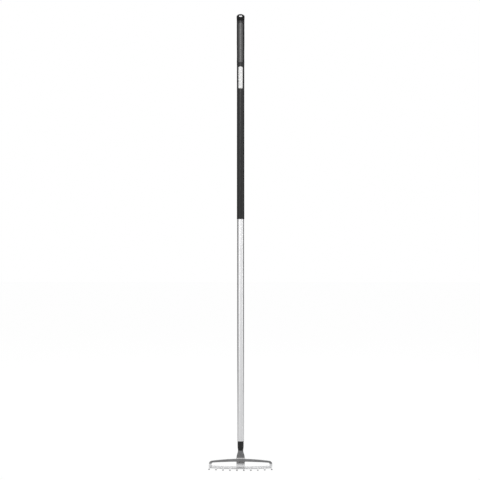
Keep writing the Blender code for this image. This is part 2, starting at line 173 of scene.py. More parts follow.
DUST = (0.05, 0.05, 0.05)
WELD_SMOKE = (0.30, 0.28, 0.26)

# Studio and camera
CAMERA_DISTANCE = 4.5
CAMERA_TURN = math.radians(0.9)
CAMERA_HEIGHT = 0.8282
AIM_LEFT = 0.0022
FRAME_HEIGHT = 1.7443
SENSOR_WIDTH = 36.0
FLOOR_SIZE = 40.0
FLOOR_DROP = 0.0005
FLOOR_GLOW = 0.93
FLOOR_LEVEL = 1.02
FLOOR_ROUND = (0.72, 0.18)  # its level in gloss, near the rake and far from it
FLOOR_ROUND_REACH = (1.2, 4.5)
FLOOR_FRONT = 0.85
FLOOR_FRONT_REACH = (-2.5, -0.5)
ROOM_LEVEL = 0.60
ROOM_LEAST = 0.12
SOFTBOX_REACH = 3.2
SOFTBOX_SIZE = (1.1, 3.4)
SOFTBOXES = (("left", -43, 0.78), ("right", 70, 0.95))  # degrees from the front, radiance

# Places that the frame gives
tube_low, tube_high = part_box("shaft_tube")
sleeve_low, sleeve_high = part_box("shaft_sleeve")
inlay_low, inlay_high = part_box("sleeve_inlay")
grip_low, grip_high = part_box("grip_core")
pad_low, pad_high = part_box("grip_pad")
bushing_low, bushing_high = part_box("socket_bushing")
bar_low, bar_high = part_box("tine_bar")
rivet_low, rivet_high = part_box("shaft_rivet")
cap_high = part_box("end_cap")[1]
neck_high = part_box("neck")[1]
bow_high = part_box("bow")[1]
tine_low, tine_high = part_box("tine_01")
tine_boxes = [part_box(f"tine_{number:02d}") for number in range(1, TINE_COUNT + 1)]

tube_outer = tube_high.x
tube_bore = bushing_high.x + GAP
sleeve_outer = sleeve_high.x
sleeve_bore = sleeve_outer - SLEEVE_WALL
grip_outer = grip_high.x
cap_bottom = grip_high.z + GAP
head_half_width = bar_high.x
blade_half_width = neck_high.x
floor_height = bar_low.z
tine_places = [(low.x + high.x) / 2 for low, high in tine_boxes]
tine_half_width = (tine_high.x - tine_low.x) / 2

# The sheet's front face, the axis of its bend, and places along it from the start of the bend
front_face = bow_high.y - SHEET
bend_axis = front_face - BEND_RADIUS
bend_height = SHEET + BEND_RADIUS
mid_radius = BEND_RADIUS + SHEET / 2
bend_length = mid_radius * QUARTER
bar_top = -mid_radius * BAR_TOP_ANGLE
bow_foot = bar_top + GAP
lip_front = -bend_length - LIP_LENGTH
blade_end = -mid_radius * BLADE_FOOT_ANGLE
neck_shoulder = bushing_low.z - GAP

# The rivet, and the heights round its hole where the pierced pieces have a ring of points
rivet_height = (rivet_low.z + rivet_high.z) / 2
rivet_rings = (rivet_height + RIVET_HEAD, rivet_height - RIVET_HEAD)


def swept(first, last, steps):
    """Even steps from one number to another, with both ends."""
    return [first + (last - first) * step / steps for step in range(steps + 1)]


def eased(share):
    """A share from 0 to 1 that starts and ends gently."""
    return share * share * (3 - 2 * share)


def bell(share):
    """1 at 0, and gently down to 0 at 1."""
    return (1 + math.cos(math.pi * share)) / 2


def activate(piece):
    """Makes one piece the only selected and active object."""
    bpy.ops.object.select_all(action="DESELECT")
    piece.select_set(True)
    bpy.context.view_layer.objects.active = piece


def added(name, primitive, **settings):
    """Adds a primitive mesh and names it."""
    bpy.ops.object.select_all(action="DESELECT")
    primitive(**settings)
    piece = bpy.context.object
    piece.name = name
    return piece


def edit(piece, faces=False):
    """Enters edit mode on one piece, choosing by face or else by edge."""
    activate(piece)
    bpy.context.tool_settings.mesh_select_mode = (False, not faces, faces)
    bpy.ops.object.mode_set(mode="EDIT")


def edit_all(piece):
    """Enters edit mode with all of the piece's mesh selected."""
    edit(piece)
    bpy.ops.mesh.select_all(action="SELECT")


def edit_faces(piece, chosen):
    """Enters edit mode with those faces selected for which chosen gives true."""
    edit(piece)
    bpy.ops.mesh.select_all(action="DESELECT")
    leave_edit()
    for face in piece.data.polygons:
        face.select = chosen(face)
    edit(piece, faces=True)


def leave_edit():
    bpy.ops.object.mode_set(mode="OBJECT")


def place_in_mesh(piece):
    """Moves the object's place, turn and size into its mesh."""
    activate(piece)
    bpy.ops.object.transform_apply(location=True, rotation=True, scale=True)


def applied(piece, kind, **settings):
    """Adds a modifier with these settings and applies it."""
    activate(piece)
    modifier = piece.modifiers.new(kind.lower(), kind)
    for key, value in settings.items():
        setattr(modifier, key, value)
    bpy.ops.object.modifier_apply(modifier=modifier.name)


def carve(piece, cutter, operation="DIFFERENCE"):
    """Cuts a piece with a cutter and throws the cutter away."""
    applied(piece, "BOOLEAN", object=cutter, operation=operation, solver="EXACT")
    bpy.data.objects.remove(cutter, do_unlink=True)


def bevel_edges(piece, width, segments=3):
    """Rounds a piece's sharp edges."""
    applied(
        piece, "BEVEL", width=width, segments=segments, limit_method="ANGLE",
        angle_limit=math.radians(SHARP_ANGLE), use_clamp_overlap=True,
    )


def make_outward(piece):
    """Turns all faces of a closed mesh outwards."""
    edit_all(piece)
    bpy.ops.mesh.normals_make_consistent(inside=False)
    leave_edit()
    return piece


def smooth(piece, angle=35):
    activate(piece)
    bpy.ops.object.shade_smooth_by_angle(angle=math.radians(angle))
    return piece


def join(name, pieces):
    """Makes one piece of several."""
    activate(pieces[0])
    for piece in pieces:
        piece.select_set(True)
    bpy.ops.object.join()
    pieces[0].name = name
    return pieces[0]


def start_ring(name, sides, radius=1.0, height=0.0):
    """A wire circle round the shaft's axis, left selected in edit mode."""
    ring = added(
        name, bpy.ops.mesh.primitive_circle_add,
        vertices=sides, radius=radius, location=(0, 0, height),
    )
    place_in_mesh(ring)
    edit_all(ring)
    return ring


def pull(move):
    """Extrudes the selected ring or face and moves the new one."""
    bpy.ops.mesh.extrude_region_move(TRANSFORM_OT_translate={"value": move})


def pull_to_point(move):
    pull(move)
    bpy.ops.mesh.merge(type="CENTER")


def select_open_edges():
    bpy.ops.mesh.select_all(action="DESELECT")
    bpy.ops.mesh.select_non_manifold()


def turned(name, profile, sides=TURNED_SIDES):
    """A turned piece from (radius, height) points.

    Ends on the axis are closed to a point. Elsewhere the last ring is bridged to the first.
    """
    poles = [profile[0][0] == 0, profile[-1][0] == 0]
    rings = profile[poles[0]: len(profile) - poles[1]]
    piece = start_ring(name, sides, *rings[0])
    for (radius, height), (next_radius, next_height) in zip(rings, rings[1:]):
        pull((0, 0, next_height - height))
        grow = next_radius / radius
        bpy.ops.transform.resize(value=(grow, grow, 1), center_override=(0, 0, next_height))
    if poles[1]:
        pull_to_point((0, 0, profile[-1][1] - rings[-1][1]))
    select_open_edges()
    if poles[0]:
        pull_to_point((0, 0, profile[0][1] - rings[0][1]))
    elif not poles[1]:
        bpy.ops.mesh.bridge_edge_loops()
    leave_edit()
    return smooth(make_outward(piece))


def softened(corners):
    """Profile points from (radius, height, roundness) corners."""
    points = []
    for index, (radius, height, roundness) in enumerate(corners):
        here = Vector((radius, height))
        if not roundness:
            points.append((radius, height))
            continue
        before = Vector(corners[index - 1][:2]) - here
        after = Vector(corners[(index + 1) % len(corners)][:2]) - here
        start = here + before.normalized() * roundness
        end = here + after.normalized() * roundness
        for share in swept(0, 1, EDGE_STEPS):
            point = start * (1 - share) ** 2 + here * 2 * share * (1 - share) + end * share**2
            points.append(tuple(point))
    return points


def shell(name, side, bore, bore_rounds=(0, 0), rings=()):
    """A turned shell with a straight bore.

    side is its outer side, as (radius, height, roundness) corners from the top down.
    bore_rounds are the roundness of the bore's lower and upper rim. rings are heights under the
    first corner, from the top down, where both sides get a ring of points.
    """
    first, last = side[0], side[-1]
    corners = [first, *((first[0], height, 0) for height in rings), *side[1:]]
    corners.append((bore, last[1], bore_rounds[0]))
    corners += [(bore, height, 0) for height in reversed(rings)]
    corners.append((bore, first[1], bore_rounds[1]))
    return turned(name, softened(corners))


def flat_grid(name, columns, rows):
    """A flat grid from -1 to 1 each way, whose points come in rows."""
    return added(
        name, bpy.ops.mesh.primitive_grid_add, x_subdivisions=columns, y_subdivisions=rows, size=2
    )


def shaped_sheet(name, columns, rows, shape):
    """A grid whose points, from -1 to 1 across and up, are put in place by shape."""
    piece = flat_grid(name, columns, rows)
    for vert in piece.data.vertices:
        vert.co = shape(vert.co.x, vert.co.y)
    return piece


def round_end(across, up, half_width, length):
    """Maps the end square of a strip to a half ellipse, for a strip with a round end."""
    x = half_width * across * math.sqrt(1 - up * up / 2)
    return x, length * up * math.sqrt(1 - across * across / 2)


def on_shaft(angle, radius, height):
    """A point round the shaft, at an angle from its front."""
    return Vector((radius * math.sin(angle), -radius * math.cos(angle), height))


def grip_radius(height):
    """The grip shell's outer radius at a height."""
    drops = [0.0, GRIP_FULL_LENGTH, GRIP_WAIST_DROP, GRIP_HEEL_DROP, grip_high.z - grip_low.z]
    waist, heel = sleeve_bore + GRIP_WAIST_WALL, sleeve_bore + GRIP_HEEL_WALL
    radii = [grip_outer, grip_outer, waist, heel, sleeve_outer]
    drop = min(max(grip_high.z - height, 0.0), drops[-1])
    for start, end, radius, next_radius in zip(drops, drops[1:], radii, radii[1:]):
        if drop <= end:
            return radius + (next_radius - radius) * eased((drop - start) / (end - start))
    return radii[-1]


def pad_sheet(name, grow, lift, crowned=False):
    """The pad's outline as a sheet round the shaft, with a half round top and a shallow heel."""
    half_width = math.asin(pad_high.x / grip_outer) * grip_outer + grow
    top_centre = pad_high.z + grow - half_width
    heel = PAD_HEEL + grow
    heel_centre = pad_low.z - grow + heel
    ends = PAD_END_SHARE

    def shape(across, up):
        if up > 1 - ends:
            x, rise = round_end(across, (up - 1 + ends) / ends, half_width, half_width)
            height = top_centre + rise
        elif up < ends - 1:
            x, rise = round_end(across, (up + 1 - ends) / ends, half_width, heel)
            height = heel_centre + rise
        else:
            middle = (up / (1 - ends) + 1) / 2
            x = half_width * across
            height = heel_centre + (top_centre - heel_centre) * middle
        edge = max(abs(across), (abs(up) - 1) / ends + 1)
        sink = PAD_CROWN * max(edge, 0) ** 6 if crowned else 0
        return on_shaft(x / grip_outer, grip_radius(height) + lift - sink, height)

    return shaped_sheet(name, 33, 251, shape)


def inlay_sheet(name, grow, radius):
    """The inlay's outline as a sheet round the shaft: a rectangle whose top rises to a low peak."""
    half_width = math.asin(inlay_high.x / sleeve_outer) * sleeve_outer + grow
    shoulder = inlay_high.z - INLAY_PEAK + grow
    bottom = inlay_low.z - grow

    def shape(across, up):
        level = (up + 1) / 2
        peak = INLAY_PEAK * (1 - abs(across)) * level**12
        height = bottom + (shoulder - bottom) * level + peak
        return on_shaft(half_width * across / sleeve_outer, radius, height)

    return shaped_sheet(name, 33, 81, shape)


def thickened(piece, thickness):
    """Gives a sheet round the shaft its thickness, inwards for a positive value."""
    face = piece.data.polygons[0]
    if face.normal.dot(Vector((face.center.x, face.center.y, 0))) < 0:
        edit_all(piece)
        bpy.ops.mesh.flip_normals()
        leave_edit()
    applied(piece, "SOLIDIFY", thickness=abs(thickness), offset=-math.copysign(1, thickness))


def make_tube():
    side = [(tube_outer, tube_high.z, 0), (tube_outer, tube_low.z, TUBE_EDGE)]
    tube = shell("drawn_tube", side, tube_bore, (TUBE_EDGE / 2, 0), rivet_rings)
    return pierce_for_rivet(tube)


def pierce_for_rivet(piece):
    """Drills the rivet's hole into a piece from behind."""
    carve(piece, cross_bar(
        "rivet_drill", CUTTER_SIDES // 2, RIVET_SHANK / 2 + GAP, 2 * tube_outer,
        (0, tube_outer, rivet_height), (QUARTER, 0, 0),
    ))
    return smooth(piece)


def cross_bar(name, sides, radius, depth, place, turn):
    """A round bar across the shaft, for cutting."""
    bar = added(
        name, bpy.ops.mesh.primitive_cylinder_add,
        vertices=sides, radius=radius, depth=depth, location=place, rotation=turn,
    )
    place_in_mesh(bar)
    return bar


def make_sleeve():
    side = [
        (sleeve_outer, sleeve_high.z, MOULDED_EDGE / 2),
        (sleeve_outer, sleeve_low.z, MOULDED_EDGE * 1.5),
    ]
    return carve_inlay_seat(shell("black_sleeve", side, sleeve_bore))


def carve_inlay_seat(piece):
    """Cuts the inlay's outline through a shell round the shaft."""
    seat = inlay_sheet("inlay_seat", GAP / 2, sleeve_bore - GAP)
    thickened(seat, -(SLEEVE_WALL + 4 * GAP))
    carve(piece, seat)
    return smooth(piece)


def make_inlay():
    inlay = inlay_sheet("white_inlay", 0, sleeve_outer)
    thickened(inlay, INLAY_THICKNESS)
    bevel_edges(inlay, MOULDED_EDGE / 2, 2)
    return smooth(inlay)


def make_grip():
    """The hard shell of the grip, with the pad's recess and the notch for the inlay's peak."""
    heights = swept(grip_high.z, grip_low.z, 48)[1:-1]
    side = [(grip_outer, grip_high.z, MOULDED_EDGE)]
    side += [(grip_radius(height), height, 0) for height in heights]
    side.append((sleeve_outer, grip_low.z, MOULDED_EDGE))
    grip = shell("grip_shell", side, sleeve_bore)
    seat = pad_sheet("pad_seat", GAP, 2 * GAP)
    thickened(seat, PAD_THICKNESS + 3 * GAP)
    carve(grip, seat)
    return carve_inlay_seat(grip)


def make_pad():
    pad_front = -pad_low.y
    pad = pad_sheet("soft_pad", 0, pad_front - grip_outer, crowned=True)
    thickened(pad, PAD_THICKNESS)
    return smooth(pad, 50)


def make_cap():
    """The domed cap: turned, scooped front and back, pierced, then softened as a moulding."""
    bulge = grip_outer + CAP_BULGE
    bulge_height = cap_bottom + CAP_BULGE_HEIGHT
    dome = cap_high.z - bulge_height
    profile = [(0, cap_high.z)]
    shares = swept(0, 1, 24)[1:]
    for share in shares:
        angle = QUARTER * (1 - share)
        profile.append((bulge * math.cos(angle), bulge_height + dome * math.sin(angle)))
    for share in shares:
        height = bulge_height - (CAP_BULGE_HEIGHT - CAP_NECK_HEIGHT) * share
        profile.append((grip_outer + CAP_BULGE * bell(share), height))
    root = tube_bore - GAP - CAP_SPIGOT_WALL / 2
    floor = cap_bottom - CAP_FLOOR
    profile += [(grip_outer, cap_bottom), (root, cap_bottom), (root, floor), (0, floor)]
    cap = turned("domed_cap", profile)
    for side in (-1, 1):
        place = (0, side * (LOOP_THICKNESS / 2 + SCOOP_RADIUS), HOLE_HEIGHT / 2)
        turn = (0, QUARTER, 0)
        carve(cap, cross_bar("scoop", CUTTER_SIDES, SCOOP_RADIUS, 4 * bulge, place, turn))
    carve(cap, make_hole_cutter(4 * bulge))
    applied(cap, "REMESH", mode="VOXEL", voxel_size=CAP_VOXEL, adaptivity=0.0)
    applied(cap, "SMOOTH", factor=0.5, iterations=8)
    carve(cap, make_spigot(), "UNION")
    return smooth(cap, 75)


def make_spigot():
    """The hollow spigot under the cap, which plugs the tube. Its top is rooted in the cap."""
    radius, bore = tube_bore - GAP, tube_bore - GAP - CAP_SPIGOT_WALL
    top, bottom = cap_bottom + CAP_SPIGOT_WALL / 2, cap_bottom - CAP_SPIGOT_LENGTH
    side = [(radius, top, 0), (radius, bottom, MOULDED_EDGE)]
    return shell("cap_spigot", side, bore, (MOULDED_EDGE, 0))


def make_hole_cutter(depth):
    """A bar with the hang hole's outline: round corners, and a top edge that dips in the middle."""
    half_width, half_height = HOLE_WIDTH / 2 - HOLE_CORNER, HOLE_HEIGHT / 2 - HOLE_CORNER
    outline = []
    for x, z, first in ((1, -1, -90), (1, 1, 0), (-1, 1, 90), (-1, -1, 180)):
        for angle in map(math.radians, swept(first, first + 90, 12)):
            across, up = HOLE_CORNER * math.cos(angle), HOLE_CORNER * math.sin(angle)
            outline.append([x * half_width + across, -depth / 2, z * half_height + up])
        if (x, z) == (1, 1):
            for across in swept(half_width, -half_width, 16)[1:-1]:
                outline.append([across, -depth / 2, HOLE_HEIGHT / 2])
    for point in outline:
        if point[2] > 0:
            point[2] -= HOLE_DIP * bell(min(abs(point[0]) / (HOLE_WIDTH / 2), 1.0))
    return make_outward(drawn_out("hang_hole", outline, (0, depth, 0)))


def drawn_out(name, outline, move):
    """A bar from a flat outline, drawn out by a move."""
    bar = added(
        name, bpy.ops.mesh.primitive_circle_add, vertices=len(outline), fill_type="NGON"
    )
    for vert, place in zip(bar.data.vertices, outline):
        vert.co = place
    edit_all(bar)
    pull(move)
    leave_edit()
    place_in_mesh(bar)
    return bar


def make_bushing():
    outer, bottom = bushing_high.x, bushing_low.z
    side = [
        (outer, bushing_high.z, MOULDED_EDGE),
        (outer, bottom + BUSHING_TAPER, BUSHING_TAPER_ROUND),
        (NECK_SHOULDER_RADIUS, bottom, MOULDED_EDGE * 1.5),
    ]
    rounds = (0, MOULDED_EDGE)
    bushing = shell("black_bushing", side, STEM_RADIUS + GAP, rounds, rivet_rings)
    return pierce_for_rivet(bushing)


def make_rivet():
    """A blind rivet: a domed head with the broken pin in its hole, a shank and a set bulb."""
    top, bulb_low = rivet_high.y, rivet_low.y
    seat = top - RIVET_HEAD_RISE
    hole, deep = RIVET_PIN_HOLE / 2, RIVET_PIN_HOLE_DEPTH
    # The broken pin's rough end, then the wall of its hole and the dome
    profile = [(0, top - deep * 0.6), (hole * 0.6, top - deep * 0.7)]
    profile += [(hole * 0.85, top - deep), (hole, top - deep)]
    first = math.asin(hole / (RIVET_HEAD / 2)) + RIVET_RIM
    for angle in swept(first, QUARTER, 12):
        profile.append((RIVET_HEAD / 2 * math.sin(angle), seat + RIVET_HEAD_RISE * math.cos(angle)))
    shank, bulb = RIVET_SHANK / 2, RIVET_BULB / 2
    bulb_top = math.sqrt((STEM_RADIUS - STEM_WALL) ** 2 - bulb**2) - GAP
    profile += [(shank, seat), (shank, bulb_top)]
    for share in (0.15, 0.5, 0.85):
        radius = shank + (bulb - shank) * math.sqrt(math.sin(math.pi * share))
        profile.append((radius, bulb_top - (bulb_top - bulb_low) * share))
    profile += [(shank * 0.8, bulb_low), (0, bulb_low)]
    rivet = turned("blind_rivet", profile, RIVET_SIDES)
    rivet.rotation_euler = (-QUARTER, 0, 0)
    rivet.location = (0, 0, rivet_height)
    place_in_mesh(rivet)
    return rivet


def comb_rise(x):
    """How far the head's shallow arc lifts the sheet at a place across it."""
    return COMB_ARC_RADIUS - math.sqrt(COMB_ARC_RADIUS**2 - x**2)


def pressed(x, along, depth):
    """Where a point of the flat sheet lies once the sheet is bent forwards.

    along is 0 where the bend starts, positive up the flat part, and negative round the bend and
    out along the lip. depth runs into the sheet from its front face.
    """
    level = floor_height + comb_rise(x)
    if along >= 0:
        return Vector((x, front_face + depth, level + bend_height + along))
    if along > -bend_length:
        angle = -along / mid_radius
        radius = BEND_RADIUS + depth
        height = bend_height - radius * math.sin(angle)
        return Vector((x, bend_axis + radius * math.cos(angle), level + height))
    return Vector((x, bend_axis + along + bend_length, level + SHEET - depth))


def in_sheet(x, height):
    """A height on the flat bow, as a place along the sheet."""
    return x, height - bend_height - comb_rise(x)


def press(piece):
    """Bends a piece that was made flat, with (x, along, depth) as its axes."""
    for vert in piece.data.vertices:
        vert.co = pressed(*vert.co)
    piece.data.update()


def skinned(name, rings):
    """A closed tube through rings of points, all with the same count."""
    tube = start_ring(name, len(rings[0]))
    for _ in rings[1:]:
        pull((0, 0, -GAP))
    leave_edit()
    for vert, place in zip(tube.data.vertices, sum(rings, [])):
        vert.co = place
    close_ends(tube)
    return tube


def end_faces(piece):
    return [face for face in piece.data.polygons if len(face.vertices) > END_CORNERS]


def close_ends(piece):
    """Caps the open ends of a piece and turns its faces outwards."""
    edit(piece)
    select_open_edges()
    bpy.ops.mesh.edge_face_add()
    leave_edit()
    if not end_faces(piece):
        raise ValueError(f"{piece.name} has no capped end")
    make_outward(piece)


def stadium(half_width, half_depth):
    """A round-ended section of (x, y) points; a circle where both halves are equal."""
    ring = []
    for step in range(NECK_SIDES):
        angle = 2 * math.pi * (step + 0.5) / NECK_SIDES
        shift = math.copysign(half_width - half_depth, math.cos(angle))
        ring.append((shift + half_depth * math.cos(angle), half_depth * math.sin(angle)))
    return ring


def flare_section(share):
    """Half width and half depth of the neck, from its round shoulder at 0 to its blade at 1."""
    radius = NECK_SHOULDER_RADIUS
    width = radius + (blade_half_width - radius) * eased(share)
    return width, radius + (BLADE_THICKNESS / 2 - radius) * eased(share)


def hollowed(section, depth):
    """A section whose long sides sink by a depth at the middle."""
    reach = blade_half_width * BLADE_HOLLOW_REACH
    sunk = []
    for x, y in section:
        sunk.append((x, y - math.copysign(depth * bell(min(abs(x) / reach, 1.0)), y)))
    return sunk


def level_ring(section, height):
    return [(x, y, height) for x, y in section]


def make_neck():
    """A tube, round in the bushing, squeezed flat below it and bent with the sheet.

    The squeeze leaves a shallow hollow down the middle of the front and the back.
    """
    flare = [(share, neck_shoulder - share * FLARE_LENGTH) for share in swept(0, 1, 28)]
    rings = []
    for share, height in reversed(flare):
        width, depth = flare_section(share)
        if share > 0 and depth > 2 * STEM_WALL:
            rings.append(level_ring(stadium(width - STEM_WALL, depth - STEM_WALL), height))
    heights = [neck_high.z, *rivet_rings, neck_shoulder]
    for radius, stops in ((STEM_RADIUS - STEM_WALL, heights[::-1]), (STEM_RADIUS, heights)):
        rings += [level_ring(stadium(radius, radius), height) for height in stops]
    for share, height in flare:
        hollow = BLADE_HOLLOW * eased(share)
        rings.append(level_ring(hollowed(stadium(*flare_section(share)), hollow), height))
    blade = hollowed(stadium(*flare_section(1.0)), BLADE_HOLLOW)
    middle = SHEET + GAP + BLADE_THICKNESS / 2
    for place in swept(0, blade_end, 12):
        rings.append([pressed(x, place, middle + y) for x, y in blade])
    neck = skinned("squeezed_neck", rings)
    slit_foot(neck)
    return smooth(pierce_for_rivet(neck), 40)


def slit_foot(neck):
    """Sinks a slit into the blade's foot, where the squeezed tube's two walls meet."""
    foot = min(end_faces(neck), key=lambda face: face.center.z).index
    edit_faces(neck, lambda face: face.index == foot)
    bpy.ops.mesh.inset(thickness=BLADE_THICKNESS / 2 - BLADE_SLIT / 2, depth=0)
    bpy.ops.mesh.inset(thickness=BLADE_SLIT / 6, depth=-BLADE_SLIT)
    leave_edit()


def arch(half_width, crown, arc_radius, corner_radius):
    """One edge of the bow, right foot to left foot: leg, round corner, long arc, and back down."""
    centre = crown - arc_radius
    corner_x = half_width - corner_radius
    corner_height = centre + math.sqrt((arc_radius - corner_radius) ** 2 - corner_x**2)
    meeting = math.atan2(corner_height - centre, corner_x)
    leg_end = in_sheet(half_width, corner_height)[1]
    side = [(half_width, along) for along in swept(bow_foot, leg_end, 14)[:-1]]
    for angle in swept(0, meeting, 10)[:-1]:
        x = corner_x + corner_radius * math.cos(angle)
        side.append(in_sheet(x, corner_height + corner_radius * math.sin(angle)))
    for angle in swept(meeting, QUARTER, 32)[:-1]:
        side.append(in_sheet(arc_radius * math.cos(angle), centre + arc_radius * math.sin(angle)))
    return side + [in_sheet(0.0, crown)] + [(-x, along) for x, along in reversed(side)]


def make_bow():
    """A strap drawn out along the arch, given its thickness, edge-rounded and bent."""
    outer = arch(head_half_width, BOW_CROWN, BOW_ARC_RADIUS, BOW_OUTER_CORNER)
    under = BOW_CROWN - BOW_DEPTH
    inner = arch(head_half_width - LEG_WIDTH, under, BOW_UNDER_RADIUS, BOW_INNER_CORNER)
    strips = 3
    bow = flat_grid("strap_bow", strips, len(outer) - 1)
    for index, vert in enumerate(bow.data.vertices):
        station, row = divmod(index, strips + 1)
        start, end = Vector(outer[station]), Vector(inner[station])
        vert.co = (*(start + (end - start) * (row / strips)), 0)
    return finish_sheet(bow)


def finish_sheet(piece):
    """Gives a flat piece the sheet's thickness, rounds its edges and presses it to shape."""
    applied(piece, "SOLIDIFY", thickness=SHEET, offset=1)
    low = min(vert.co.z for vert in piece.data.vertices)
    for vert in piece.data.vertices:
        vert.co.z -= low
    make_outward(piece)
    bevel_edges(piece, SHEET_EDGE)
    press(piece)
    return smooth(make_outward(piece), 30)


def make_bar():
    """The curved strip, with a notch in its lip for each tine."""
    half = tine_half_width + GAP
    edges = {-head_half_width, head_half_width}
    for place in tine_places:
        edges |= {x for x in (place - half, place + half) if abs(x) < head_half_width}
    for left, right in zip(tine_places, tine_places[1:]):
        edges.update(swept(left + half, right - half, 6)[1:-1])
    columns = sorted(edges)
    notch = lip_front + TINE_NOTCH
    rows = swept(bar_top, -bend_length, 14) + [notch, lip_front]
    bar = flat_grid("curved_bar", len(columns) - 1, len(rows) - 1)
    for index, vert in enumerate(bar.data.vertices):
        row, column = divmod(index, len(columns))
        vert.co = (columns[column], rows[row], 0)

    def in_notch(face):
        at_tine = any(abs(face.center.x - place) < half for place in tine_places)
        return at_tine and face.center.y < notch

    edit_faces(bar, in_notch)
    bpy.ops.mesh.delete(type="FACE")
    leave_edit()
    return finish_sheet(bar)


def make_tine():
    """The first tine: a flat bar, sawn blunt."""
    tine = added(
        "flat_tine_01", bpy.ops.mesh.primitive_cube_add,
        size=1, location=(tine_low + tine_high) / 2,
    )
    tine.scale = tine_high - tine_low
    place_in_mesh(tine)
    edit(tine)
    for place in swept(tine_low.y, tine_high.y, 8)[1:-1]:
        bpy.ops.mesh.select_all(action="SELECT")
        bpy.ops.mesh.bisect(plane_co=(0, place, 0), plane_no=(0, 1, 0))
    leave_edit()
    bevel_edges(tine, TINE_EDGE)
    return smooth(tine, 30)


def make_tines():
    """All the tines by node. The first is modelled, and each other is a copy put in its place."""
    tines = {"tine_01": make_tine()}
    for number, (low, _) in enumerate(tine_boxes[1:], 2):
        activate(tines["tine_01"])
        bpy.ops.object.duplicate()
        copy = bpy.context.object
        copy.name = f"flat_tine_{number:02d}"
        copy.location = low - tine_low
        place_in_mesh(copy)
        tines[f"tine_{number:02d}"] = copy
    return tines


def make_root_fillets():
    """The small concave welds in the corners at each tine's root."""
    front = pressed(0, lip_front, 0).y
    fillets = []
    for place in tine_places:
        low = floor_height + comb_rise(place) + GAP
        for side in (-1, 1):
            corner_x = place + side * tine_half_width
            if abs(corner_x) > head_half_width - GAP:
                continue
            hollow = quarter_round(corner_x, front, side * ROOT_FILLET, 8)
            outline = [(x, y, low) for x, y in [(corner_x - side * GAP, front + GAP), *hollow]]
            fillets.append(drawn_out("fillet", outline, (0, 0, SHEET - 2 * GAP)))
    return smooth(make_outward(join("root_fillets", fillets)), 40)


def bead(name, path, level, section):
    """A weld bead along a path on the flat sheet, in ripples that taper at both ends.

    path is (x, along) points, and level is the path's depth. section is (across, depth) points
    about the path, where across is to the left of the way that the path runs.
    """
    runs = [0.0]
    for start, end in zip(path, path[1:]):
        runs.append(runs[-1] + math.dist(start, end))
    length = runs[-1]
    rings = []
    steps = max(BEAD_LEAST_STEPS, round(length / BEAD_RIPPLE * BEAD_RIPPLE_STEPS))
    for run in swept(0, length, steps):
        place, way = walked(path, runs, run)
        nearest = min(run, length - run) / BEAD_TAPER
        taper = math.sqrt(max(BEAD_TIP, 1 - max(0.0, 1 - nearest) ** 2))
        ring = []
        for point, (across, depth) in enumerate(section):
            bow = math.sin(math.pi * point / (len(section) - 1))
            wave = math.sin(math.pi * (run - BEAD_RIPPLE_LAG * BEAD_RIPPLE * bow) / BEAD_RIPPLE)
            size = (1 - BEAD_RIPPLE_DEPTH * abs(wave)) * taper
            aside = across * size
            ring.append((place.x - way.y * aside, place.y + way.x * aside, level + depth * size))
        rings.append(ring)
    piece = skinned(name, rings)
    press(piece)
    return smooth(make_outward(piece), 50)


def walked(path, runs, run):
    """The place at a distance along a path, and the way that the path runs there."""
    reach = runs[-1] / 400
    ends = []
    for distance in (run, max(run - reach, 0.0), min(run + reach, runs[-1])):
        index = max(place for place in range(len(runs) - 1) if runs[place] <= distance or not place)
        share = (distance - runs[index]) / (runs[index + 1] - runs[index])
        ends.append(Vector(path[index]).lerp(Vector(path[index + 1]), share))
    return ends[0], (ends[2] - ends[1]).normalized()


def fillet_section(along_leg, depth_leg):
    """A bead's section: its corner, then a hollow face from the end of one leg to the other's."""
    section = [(0.0, 0.0)]
    for angle in swept(0, QUARTER, 9):
        share = 1 - BEAD_BULGE * math.sin(2 * angle)
        section.append((along_leg * math.cos(angle) * share, depth_leg * math.sin(angle) * share))
    return section


def domed_section(half_width, root, rise, steps=12):
    """A bead's section over a seam: a dome from a root under the surface. rise may be negative."""
    section = []
    for angle in swept(0, math.pi, steps):
        section.append((half_width * math.cos(angle), root + (rise - root) * math.sin(angle)))
    return section


def make_welds():
    """The beads that join the neck to the bow and the bar, and the bow's feet to the bar."""
    half = blade_half_width + BOW_BEAD_OVERRUN
    top = in_sheet(0.0, BOW_CROWN)[1]
    under_drop = BOW_UNDER_RADIUS - math.sqrt(BOW_UNDER_RADIUS**2 - half**2)
    under = in_sheet(0.0, BOW_CROWN - BOW_DEPTH - under_drop)[1]
    blade_front = SHEET + GAP / 2
    welds = {}
    for name, edge, way in (("upper", top, 1), ("lower", under, -1)):
        section = fillet_section(way * BOW_BEAD_LEG, -BOW_BEAD)
        path = [(-half, edge), (half, edge)]
        welds[f"bow_weld_{name}"] = bead(f"bow_bead_{name}", path, blade_front, section)

    seam = (bar_top + bow_foot) / 2
    section = domed_section(SEAM_BEAD_HALF, 0.0, GAP + SEAM_BEAD_PROUD) + [(0.0, -GAP)]
    inner, outer = head_half_width - LEG_WIDTH, head_half_width
    for side, start, end in (("left", -outer, -inner), ("right", inner, outer)):
        path = [(start, seam), (end, seam)]
        welds[f"bar_end_weld_{side}"] = bead(f"foot_bead_{side}", path, SHEET, section)

    section = fillet_section(-FOOT_BEAD, FOOT_BEAD)
    half = blade_half_width - BLADE_THICKNESS / 2 - FOOT_BEAD_INSET
    path = [(-half, blade_end), (half, blade_end)]
    welds["neck_foot_weld"] = bead("blade_foot_bead", path, blade_front, section)
    return welds


